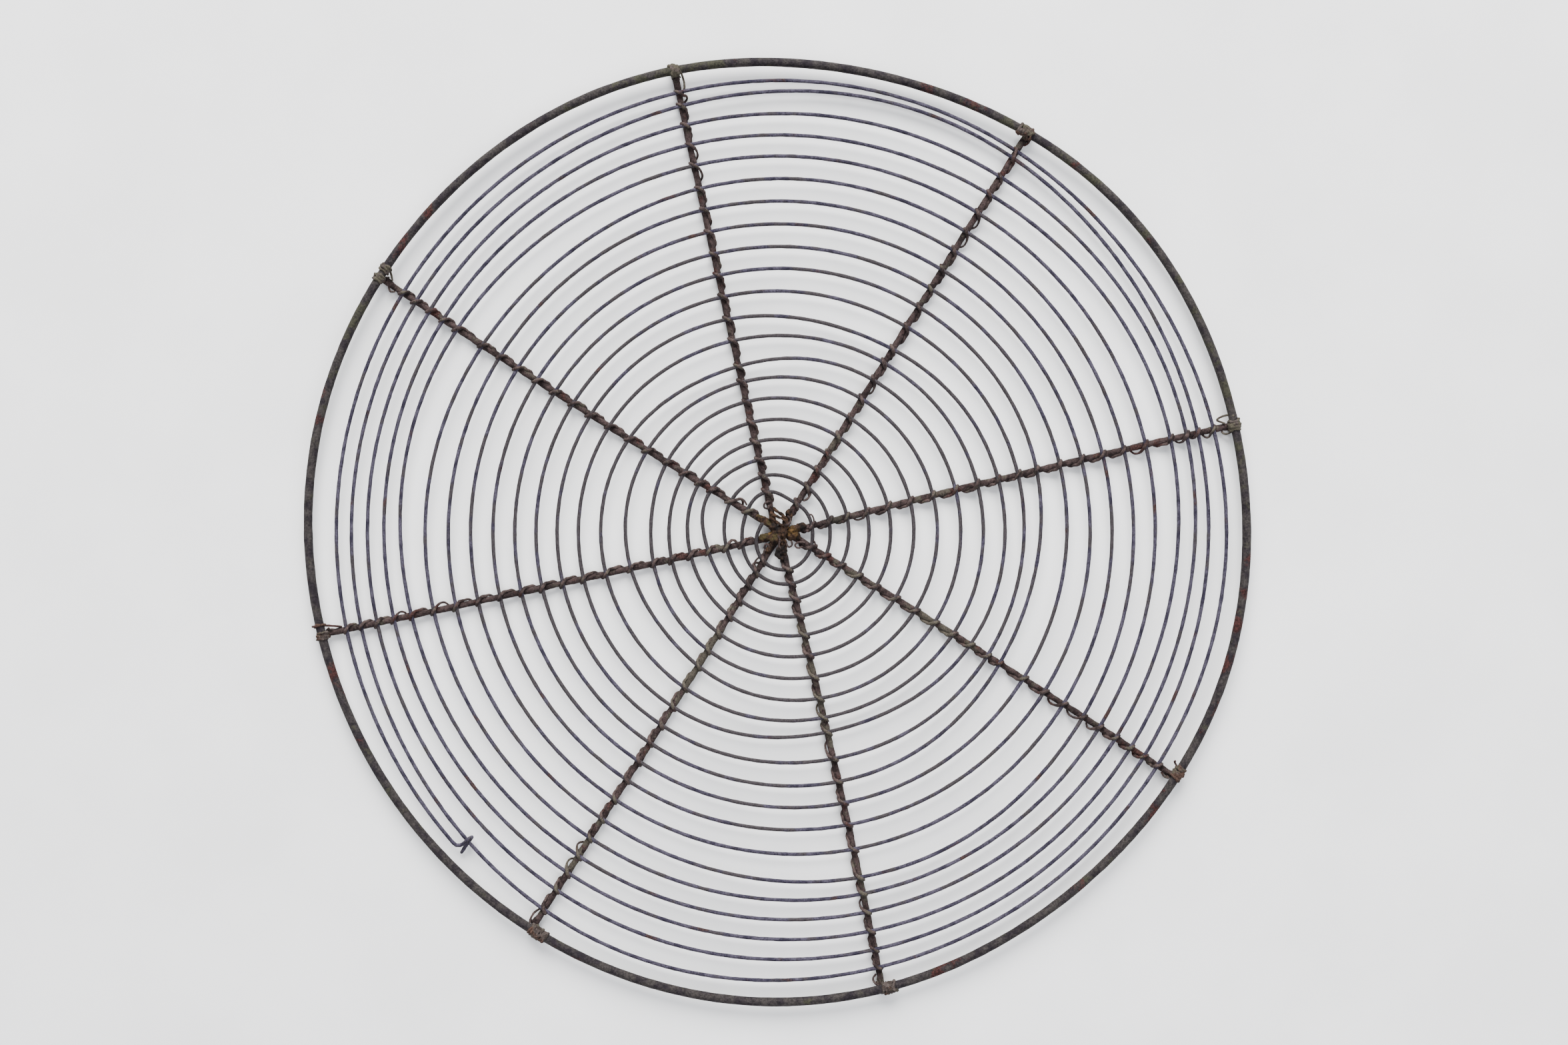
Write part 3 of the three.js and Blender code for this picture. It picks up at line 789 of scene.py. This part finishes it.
def add_relief(nodes, speckle, rust_mask, grain):
    """Pits and grains as bump, raised where there is rust."""
    height = nodes.sum(speckle, nodes.noise(grain * FINE_GRAIN, detail=2, shift=31.0), FINE_RELIEF)
    height = nodes.sum(height, rust_mask, RUST_RELIEF)
    bump = nodes.add("ShaderNodeBump")
    bump.inputs["Strength"].default_value = 1.0
    bump.inputs["Distance"].default_value = grain * BUMP_DEPTH
    nodes.link(height, bump.inputs["Height"])
    nodes.link(bump.outputs["Normal"], nodes.shader.inputs["Normal"])


def wire_material(name, bare, worn, rust, moss, rust_from, moss_from, zone, grain, roughness):
    """Old iron wire: bare and worn metal in patches, rust and green growth over it, darker rust and painted
    shade where paint() stored them, and fine pits.

    rust_from and moss_from are the noise levels above which they show; zone and grain are feature sizes.
    """
    nodes = Nodes(name)
    speckle = nodes.noise(grain, detail=4, roughness=0.7, shift=3.0)
    rust_mask = growth_mask(nodes, speckle, "rust", zone, 11.0, SPECKLE_IN_RUST, rust_from, RUST_EDGE)
    moss_size = zone * MOSS_ZONE
    moss_mask = growth_mask(nodes, speckle, "moss", moss_size, 23.0, SPECKLE_IN_MOSS, moss_from, MOSS_EDGE)
    colour = iron_colour(nodes, speckle, bare, worn, zone)
    colour = nodes.mix(rust_mask, colour, rust_tones(nodes, speckle, rust))
    colour = nodes.mix(moss_mask, colour, moss)
    # Darker rust and painted shade in crevices and gaps: colour goes towards near black, as far as paint()
    # stored.
    colour = nodes.mix(nodes.attribute("shade_and_dark_rust"), colour, SHADE_AND_DARK_RUST)
    nodes.link(shade_pits(nodes, speckle, colour), nodes.shader.inputs["Base Color"])
    rough = nodes.ramp(speckle, *ROUGH_LEVELS, roughness - ROUGH_SPREAD, roughness + ROUGH_SPREAD)
    nodes.link(nodes.sum(rough, rust_mask, RUST_ROUGHNESS), nodes.shader.inputs["Roughness"])
    nodes.shader.inputs["Metallic"].default_value = METALLIC
    nodes.shader.inputs["Specular IOR Level"].default_value = SPECULAR
    add_relief(nodes, speckle, rust_mask, grain)
    return nodes.material


RUST_RED = (0.038, 0.014, 0.013)
# Near black, for darker rust and painted shade.
SHADE_AND_DARK_RUST = (0.006, 0.005, 0.005)
RUST_BROWN = (0.043, 0.020, 0.018)
RUST_AMBER = (0.060, 0.034, 0.013)
MOSS_GREEN = (0.026, 0.025, 0.017)

RIM_MATERIAL = wire_material(
    "rim_iron",
    bare=(0.011, 0.008, 0.011),
    worn=(0.028, 0.024, 0.023),
    rust=RUST_RED,
    moss=MOSS_GREEN,
    rust_from=0.68,
    moss_from=0.64,
    zone=8 * MM,
    grain=0.7 * MM,
    roughness=0.72,
)
SPIRAL_MATERIAL = wire_material(
    "spiral_iron",
    bare=(0.016, 0.013, 0.025),
    worn=(0.047, 0.041, 0.060),
    rust=(0.040, 0.022, 0.021),
    moss=(0.032, 0.027, 0.030),
    rust_from=0.67,
    moss_from=0.66,
    zone=9 * MM,
    grain=0.5 * MM,
    roughness=0.70,
)
SPOKE_MATERIAL = wire_material(
    "spoke_rust",
    bare=(0.013, 0.008, 0.008),
    worn=(0.042, 0.028, 0.027),
    rust=RUST_BROWN,
    moss=(0.044, 0.038, 0.030),
    rust_from=0.66,
    moss_from=0.64,
    zone=5 * MM,
    grain=0.5 * MM,
    roughness=0.90,
)
LACING_MATERIAL = wire_material(
    "lacing_rust",
    bare=(0.018, 0.012, 0.012),
    worn=(0.059, 0.041, 0.038),
    rust=RUST_BROWN,
    moss=(0.058, 0.050, 0.039),
    rust_from=0.66,
    moss_from=0.66,
    zone=5 * MM,
    grain=0.40 * MM,
    roughness=0.90,
)
LASHING_MATERIAL = wire_material(
    "lashing_rust",
    bare=(0.022, 0.016, 0.014),
    worn=(0.058, 0.046, 0.042),
    rust=(0.058, 0.034, 0.026),
    moss=(0.050, 0.044, 0.032),
    rust_from=0.66,
    moss_from=0.64,
    zone=4 * MM,
    grain=0.36 * MM,
    roughness=0.90,
)
CRUST_MATERIAL = wire_material(
    "hub_crust",
    bare=(0.007, 0.004, 0.003),
    worn=(0.038, 0.021, 0.013),
    rust=RUST_AMBER,
    moss=(0.031, 0.023, 0.010),
    rust_from=0.76,
    moss_from=0.76,
    zone=3.5 * MM,
    grain=0.75 * MM,
    roughness=0.92,
)


# ---------------------------------------------------------------- the pieces

def make_rim():
    """The closed outer ring, painted with its red and green stretches."""
    angle = np.linspace(0, FULL_TURN, RIM_RINGS, endpoint=False)
    ring = polar(rim_radius(angle), angle, RIM_HEIGHT)
    wire = WireMesh()
    wire.add(ring, RIM_WIRE, RIM_SIDES, closed=True, lump=0.05, pit=0.03)
    rim = wire.build("rim_wire", RIM_MATERIAL, ["rim"])
    rows = np.concatenate(wire.rows)
    direction = np.degrees(np.arctan2(rows[:, 1], rows[:, 0]))
    for name, patches in (("rust", RIM_RUST), ("moss", RIM_MOSS)):
        level = np.zeros(len(rows))
        for centre, spread, strength in patches:
            off = (direction - centre + 180) % 360 - 180
            level += strength * np.exp(-((off / spread) ** 2))
        paint(rim, name, level)


def make_spiral(route):
    """The long coiled wire, duller towards the hub, and darker there with darker rust and painted shade."""
    wire = WireMesh()
    wire.add(resample(route, SPIRAL_STEP), SPIRAL_WIRE, THIN_SIDES, lump=0.13, pit=0.08, seed=SPIRAL_SKIN)
    coil = wire.build("spiral_coil", SPIRAL_MATERIAL, ["spiral_wire"])
    rows = np.concatenate(wire.rows)
    from_centre = np.hypot(rows[:, 0], rows[:, 1])
    growth, growth_radius = SPIRAL_GROWTH
    dark, dark_radius = SPIRAL_DARK
    paint(coil, "moss", growth * (1 - from_centre / growth_radius))
    # Darker rust and painted shade, strongest near the hub.
    paint(coil, "shade_and_dark_rust", dark * np.exp(-((from_centre / dark_radius) ** 2)))


def paint_along_spoke(piece, wire, number, spoke):
    """Rust, growth, and darker rust with painted shade along a spoke; the nubs of lacing on top of the spiral
    are paler, partly growth and partly a painted highlight on their tops.
    """
    rows = np.concatenate(wire.rows)
    distance, _ = spoke.local(rows)
    # Paler the higher the lacing rises over the spiral: growth, and a painted highlight on top.
    nubs = NUB_GROWTH_AND_HIGHLIGHT * np.clip((rows[:, 2] - SPIRAL_HEIGHT) / LACING_TOP, 0, 1)
    paint(piece, "rust", near_along(distance, SPOKE_RUST[number]))
    paint(piece, "moss", near_along(distance, SPOKE_MOSS[number]) + nubs)
    # Darker rust and painted shade, nearly black, along the spoke.
    paint(piece, "shade_and_dark_rust", near_along(distance, SPOKE_SHADE_AND_DARK_RUST[number]))


def make_spoke(number, spoke):
    """A spoke's rod, from under the hub's crust to just past the rim."""
    places = np.linspace(SPOKE_INNER_END, spoke.reach + SPOKE_OVERRUN, SPOKE_POINTS)
    route = resample(spoke.place([(x, 0, 0) for x in places]), SPOKE_STEP)
    wire = WireMesh()
    wire.add(route, SPOKE_WIRE, SPOKE_SIDES, lump=0.2, pit=0.12, seed=SPOKE_SKIN + number)
    rod = wire.build(f"spoke_rod_{number}", SPOKE_MATERIAL, [f"spoke_{number}"])
    paint_along_spoke(rod, wire, number, spoke)


def around(x, degrees, clearance, thickness=LACING_WIRE):
    """Lacing beside a spoke: 0 degrees is its left, 90 its front, 180 its right and 270 its back.

    clearance is the space between the two bare wires, and negative where one sits in the other's crust.
    """
    angle = math.radians(degrees)
    radius = SPOKE_WIRE + LACING_WIRE + clearance
    return (x, radius * math.cos(angle), radius * math.sin(angle), thickness)


def slack_at(number, x):
    """How far the lacing stands off on the clockwise side, just inside the crossing at x."""
    for distance, stand_off in SLACK_LOOPS[number]:
        if 0 < x - distance * MM < SLACK_REACH:
            return stand_off * MM
    return 0.0


def lacing_points(number, pairs, draw):
    """The lacing's route in the spoke's frame, from the rim to the hub.

    At each crossing it comes up on the spoke's left, goes over the spiral, down on the right and back behind.
    """
    top = SPIRAL_HEIGHT - SPOKE_HEIGHT + LACING_TOP
    points = []
    for i, ((outer, slope), (inner, _)) in enumerate(pairs):
        following = pairs[i + 1][0][0] if i + 1 < len(pairs) else inner - LACING_PAST_LAST
        gap = inner - following
        crusted = draw.uniform(*CRUSTED_TOP) * LACING_WIRE
        nub = draw.uniform(*NUB_CLEARANCE) * MM
        lean = draw.uniform(*LACING_LEAN) * MM
        slack = slack_at(number, inner)
        bulge = slack if slack else draw.uniform(*SNUG_BULGE) * MM
        swollen = LACING_WIRE * (SLACK_THICKNESS if slack else draw.uniform(*CRUSTED_SIDE))
        side = SLACK_SIDE if slack else draw.uniform(*SNUG_SIDE)
        turn_back = draw.uniform(*TURN_BACK)
        points += [
            # up from behind the spoke, on its left
            around(outer + lean + 0.35 * MM, -30, 0.5 * nub),
            around(outer + lean, 10, nub, crusted),
            # over the spiral, from the outer of the turns that it holds to the inner one
            (outer + 0.55 * lean, 0.85 * MM, 0.75 * top, crusted),
            (outer + 0.2 * lean + 0.3 * MM * slope, 0.3 * MM, top, crusted),
            (inner - 0.4 * MM, -0.35 * MM, top, crusted),
            # down on the right, close or in a slack loop
            around(inner - 1.3 * MM, 140, 0.2 * MM + 0.3 * slack, crusted),
            around(inner - 0.36 * gap, side, bulge, swollen),
            # back behind the spoke
            around(inner - turn_back * gap, 195, 0.8 * bulge, swollen),
            around(inner - (turn_back + 0.15) * gap, 245, -0.1 * MM),
        ]
    return points


def make_lacing(number, spoke, spiral):
    """The binding wire of one spoke."""
    draw = random.Random(LACING_DRAW + number)
    pairs = crossings(spoke, spiral)
    first = pairs[0][0][0]
    start = [around(spoke.reach - 1.6 * MM, 150, 0), around((spoke.reach + first) / 2, 240, 0)]
    route = smooth(spoke.place(start + lacing_points(number, pairs, draw)), LACING_STEP)
    wire = WireMesh()
    wire.add(route[:, :3], route[:, 3], THIN_SIDES, lump=0.26, pit=0.16, seed=LACING_SKIN + number)
    strand = wire.build(f"lacing_strand_{number}", LACING_MATERIAL, [f"lacing_{number}"])
    paint_along_spoke(strand, wire, number, spoke)


def lashing_points(spoke, turns, draw):
    """Turns round the rim from one place to another, in the spoke's frame.

    Where they pass behind the spoke they take it in.
    """
    start, end = (place * MM for place in turns)
    steps = max(LASHING_POINTS, int(abs(end - start) / LASHING_PITCH * LASHING_POINTS))
    rise = RIM_HEIGHT - SPOKE_HEIGHT
    snug = RIM_WIRE + LACING_WIRE
    deep = SPOKE_HEIGHT - LACING_WIRE
    points = []
    for step in range(steps + 1):
        across = start + (end - start) * step / steps
        angle = FULL_TURN * step / LASHING_POINTS + LASHING_PHASE
        radius = snug + draw.uniform(*LASHING_SPREAD) * MM
        x = spoke.reach - across**2 / (2 * RIM_RADIUS) + radius * math.cos(angle)
        z = rise + radius * math.sin(angle)
        if math.sin(angle) < LASHING_BEHIND and abs(across) < SPOKE_WIRE + LACING_WIRE:
            z = -deep
        thickness = draw.uniform(*LASHING_THICKNESS) * LACING_WIRE
        sideways = draw.uniform(-LASHING_SIDEWAYS, LASHING_SIDEWAYS) * MM
        points.append((x, across + sideways, z, thickness))
    return points


def at_rim(spoke, points):
    """Points (outwards from the spoke's end at the rim's centreline, left, up), in the rack's frame."""
    return spoke.place([(spoke.reach + out * MM, across * MM, up * MM) for out, across, up in points])


def make_lashing_turns(number, spoke):
    """The turns that tie a spoke to the rim, grown together with rust."""
    draw = random.Random(LASHING_DRAW + number)
    turns = WireMesh()
    for place in LASHING_TURNS[number]:
        route = smooth(spoke.place(lashing_points(spoke, place, draw)), LASHING_STEP)
        turns.add(route[:, :3], route[:, 3], THIN_SIDES, lump=0.3, seed=LASHING_SKIN + number)
    under = smooth(at_rim(spoke, LASHING_UNDER), LASHING_STEP)
    turns.add(under, LACING_WIRE, THIN_SIDES, lump=0.1, seed=LASHING_UNDER_SKIN + number)
    reliefs = [(height, size, seed + number) for height, size, seed in LASHING_RELIEF]
    skin = crust(turns.mesh("lashing"), LASHING_VOXEL, reliefs)
    return finish_piece(f"lashing_wire_{number}", skin, LASHING_MATERIAL, [f"lashing_{number}"])


def make_lashing_ends(number, spoke):
    """The loose ends of a lashing."""
    strands = WireMesh()
    for strand in RIM_STRANDS[number]:
        route = smooth(at_rim(spoke, strand), LASHING_STEP)
        thickness = STRAND_THICKNESS * LACING_WIRE
        strands.add(route, thickness, THIN_SIDES, lump=0.2, pit=0.1, seed=RIM_STRAND_SKIN + number)
    return strands.build(f"lashing_ends_{number}", LACING_MATERIAL)


def make_lashing(number, spoke):
    """A lashing and its ends, which share their colours."""
    rust, moss = LASHING_TINTS[number - 1]
    for piece in (make_lashing_turns(number, spoke), make_lashing_ends(number, spoke)):
        count = len(piece.data.vertices)
        paint(piece, "rust", np.full(count, rust))
        paint(piece, "moss", np.full(count, moss))


def make_hub_knot():
    """The loose curls of fine wire round the hub."""
    wire = WireMesh()
    for index, strand in enumerate(HUB_STRANDS):
        route = smooth(np.array(strand) * MM, STRAND_STEP)
        wire.add(route, LACING_WIRE, THIN_SIDES, lump=0.2, pit=0.12, seed=HUB_STRAND_SKIN + index)
    wire.build("hub_knot", LACING_MATERIAL, ["hub_tie"])


def add_hub_lumps(crusted):
    """The hub's lumps, as balls that still overlap."""
    ball = bmesh.new()
    bmesh.ops.create_icosphere(ball, subdivisions=HUB_BALL_DETAIL, radius=MM)
    points = np.array([vert.co for vert in ball.verts])
    triangles = [[vert.index for vert in face.verts] for face in ball.faces]
    ball.free()
    for x, y, z, length, width, height, degrees in HUB_LUMPS:
        cos = math.cos(math.radians(degrees))
        sin = math.sin(math.radians(degrees))
        turned = np.array([[cos, sin, 0], [-sin, cos, 0], [0, 0, 1]])
        crusted.rows.append(points * (length, width, height) @ turned + np.array((x, y, z)) * MM)
        crusted.faces += [[crusted.count + index for index in triangle] for triangle in triangles]
        crusted.count += len(points)


def near(rows, spots):
    """From 1 at each spot (x, y, spread) down to 0 well outside it."""
    level = np.zeros(len(rows))
    for x, y, spread in spots:
        off = np.hypot(rows[:, 0] - x * MM, rows[:, 1] - y * MM) / (spread * MM)
        level = np.maximum(level, np.exp(-(off**2)))
    return level


def make_hub_crust():
    """The crust of rust that holds the hub, with the wires it has grown over."""
    crusted = WireMesh()
    add_hub_lumps(crusted)
    for radius, points in HUB_ROPES:
        crusted.add(smooth(np.array(points) * MM, ROPE_STEP), radius * MM, ROPE_SIDES, lump=0.2)
    skin = crust(crusted.mesh("hub"), HUB_VOXEL, HUB_RELIEF)
    piece = finish_piece("hub_crust", skin, CRUST_MATERIAL)
    rows = np.array([vert.co for vert in skin.vertices])
    paint(piece, "rust", HUB_TINT * near(rows, HUB_AMBER))
    paint(piece, "moss", HUB_TINT * near(rows, HUB_OLIVE))
    # Nearly black: darker rust, and painted shade in the crust's crevices and gaps.
    paint(piece, "shade_and_dark_rust", near(rows, HUB_SHADE_AND_DARK_RUST))


# ---------------------------------------------------------------- floor, light and camera

def make_floor():
    """The plain pale table that the rack lies on."""
    mesh = bpy.data.meshes.new("floor")
    half = FLOOR_HALF
    corners = [(-half, -half, 0), (half, -half, 0), (half, half, 0), (-half, half, 0)]
    mesh.from_pydata(corners, [], [(0, 1, 2, 3)])
    floor = bpy.data.objects.new("floor", mesh)
    bpy.context.scene.collection.objects.link(floor)
    nodes = Nodes("floor_paint")
    mottle = nodes.ramp(nodes.noise(FLOOR_MOTTLE, detail=4), *FLOOR_LEVELS)
    nodes.link(nodes.mix(mottle, *FLOOR_TONES), nodes.shader.inputs["Base Color"])
    nodes.shader.inputs["Roughness"].default_value = FLOOR_ROUGHNESS
    mesh.materials.append(nodes.material)


def make_light(name, place, size, power, colour):
    """A round soft light that faces the rack's middle."""
    lamp = bpy.data.lights.new(name, "AREA")
    lamp.shape = "DISK"
    lamp.size = size
    lamp.energy = power
    lamp.color = colour
    light = bpy.data.objects.new(name, lamp)
    light.location = place
    light.rotation_euler = (-Vector(place)).to_track_quat("-Z", "Y").to_euler()
    bpy.context.scene.collection.objects.link(light)


def make_lights():
    """Plain soft studio light."""
    make_light("key", *KEY_LIGHT)
    make_light("fill", *FILL_LIGHT)
    world = bpy.data.worlds.new("studio")
    world.use_nodes = True
    background = world.node_tree.nodes["Background"]
    background.inputs["Color"].default_value = (*SKY_COLOUR, 1)
    background.inputs["Strength"].default_value = SKY_STRENGTH
    bpy.context.scene.world = world


def make_camera():
    """The camera, high enough for the view's width."""
    camera = bpy.data.objects.new("camera", bpy.data.cameras.new("camera"))
    camera.data.lens = LENS
    camera.data.sensor_width = SENSOR
    camera.location = (*VIEW_CENTRE, RIM_HEIGHT + VIEW_WIDTH * LENS / SENSOR)
    bpy.context.scene.collection.objects.link(camera)
    bpy.context.scene.camera = camera


def main():
    """Makes everything."""
    make_camera()
    make_lights()
    make_floor()
    spiral = spiral_route()
    make_rim()
    make_spiral(spiral)
    for number, values in enumerate(SPOKES, start=1):
        spoke = SpokeLine(*values)
        make_spoke(number, spoke)
        make_lacing(number, spoke, spiral)
        make_lashing(number, spoke)
    make_hub_knot()
    make_hub_crust()


main()
